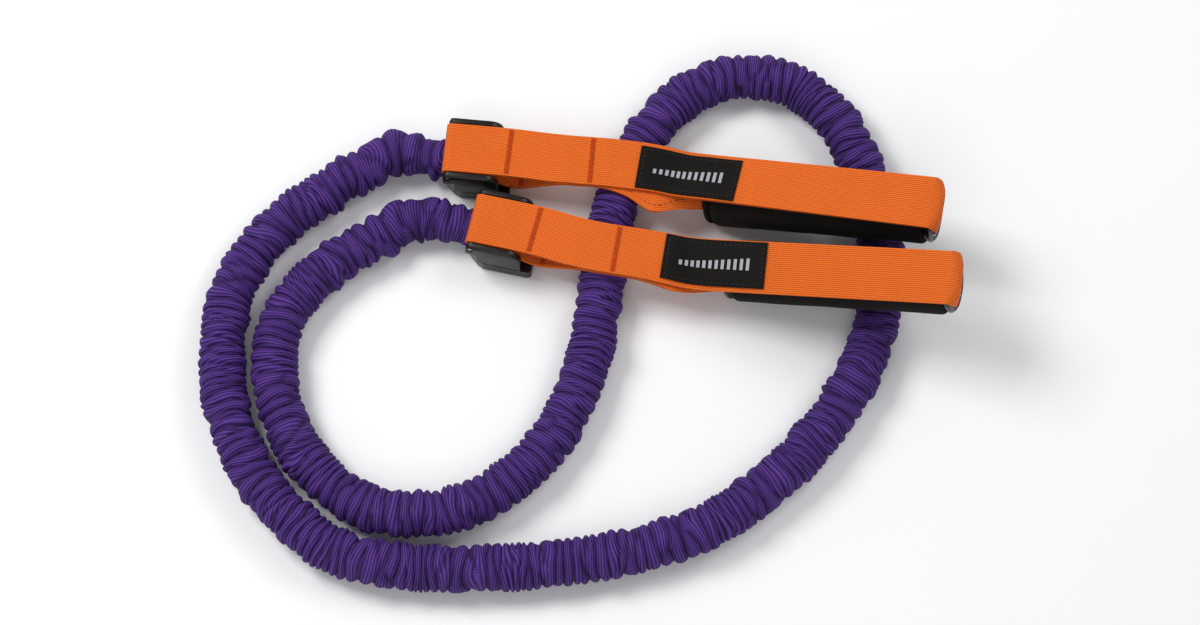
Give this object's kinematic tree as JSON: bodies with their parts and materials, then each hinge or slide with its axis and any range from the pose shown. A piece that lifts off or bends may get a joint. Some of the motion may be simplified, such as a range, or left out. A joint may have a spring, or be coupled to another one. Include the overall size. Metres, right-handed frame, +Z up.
{
  "type": "resistance tube",
  "caption": "Elastic exercise tube in a gathered fabric sleeve, lying in loose curves, with a moulded buckle and a webbing handle with a foam grip on each end.",
  "frame": {"origin": "on the floor, under the middle of the box of the two handles with their buckles, the tube left out", "axes": "+X along the handles from the buckles towards the grips' far ends, +Z up from the floor"},
  "size_m": [0.3638, 0.2743, 0.0693],
  "materials": {
    "gathered_fabric": "gathered purple fabric",
    "latex": "smooth, slightly glossy",
    "webbing": "flat woven orange webbing",
    "thread": "dense zigzag stitching",
    "label": "satin woven patch",
    "moulded_plastic": "black moulded nylon, satin",
    "core_plastic": "extruded tube",
    "foam": "matte closed-cell foam",
    "steel": "plain steel"
  },
  "bodies": {
    "tube": {"fabric_sleeve": "gathered_fabric", "latex_tube": "latex", "buckle_cover_a": "moulded_plastic", "buckle_cover_b": "moulded_plastic", "buckle_base_a": "moulded_plastic", "buckle_base_b": "moulded_plastic", "crossbar_a": "steel", "crossbar_b": "steel", "sleeve_ferrule_a": "moulded_plastic", "sleeve_ferrule_b": "moulded_plastic", "tube_plug_a": "moulded_plastic", "tube_plug_b": "moulded_plastic", "screw_near_a": "steel", "screw_near_b": "steel", "screw_far_a": "steel", "screw_far_b": "steel"},
    "handle_a": {"strap_a": "webbing", "label_a": "label", "tack_inner_a": "thread", "tack_outer_a": "thread"},
    "grip_a": {"grip_core_a": "core_plastic", "grip_foam_a": "foam", "grip_cap_left_a": "moulded_plastic", "grip_cap_right_a": "moulded_plastic"},
    "handle_b": {"strap_b": "webbing", "label_b": "label", "tack_inner_b": "thread", "tack_outer_b": "thread"},
    "grip_b": {"grip_core_b": "core_plastic", "grip_foam_b": "foam", "grip_cap_left_b": "moulded_plastic", "grip_cap_right_b": "moulded_plastic"}
  },
  "joints": [
    {"name": "handle_a_swing", "type": "hinge", "parent": "tube", "child": "handle_a", "pos_m": [-0.11971, 0.03997, 0.0224], "axis": [-0.0958, -0.9954, 0], "range_deg": [0, 120]},
    {"name": "handle_b_swing", "type": "hinge", "parent": "tube", "child": "handle_b", "pos_m": [-0.10626, 0.00268, 0.0224], "axis": [-0.2164, -0.9763, 0], "range_deg": [0, 90]},
    {"name": "grip_a_turn", "type": "hinge", "parent": "handle_a", "child": "grip_a", "pos_m": [0.05978, 0.00822, 0.02947], "axis": [0.9351, -0.2068, 0.2876], "continuous": true},
    {"name": "grip_b_turn", "type": "hinge", "parent": "handle_b", "child": "grip_b", "pos_m": [0.06778, -0.03031, 0.03181], "axis": [0.9233, -0.1906, 0.3336], "continuous": true}
  ]
}
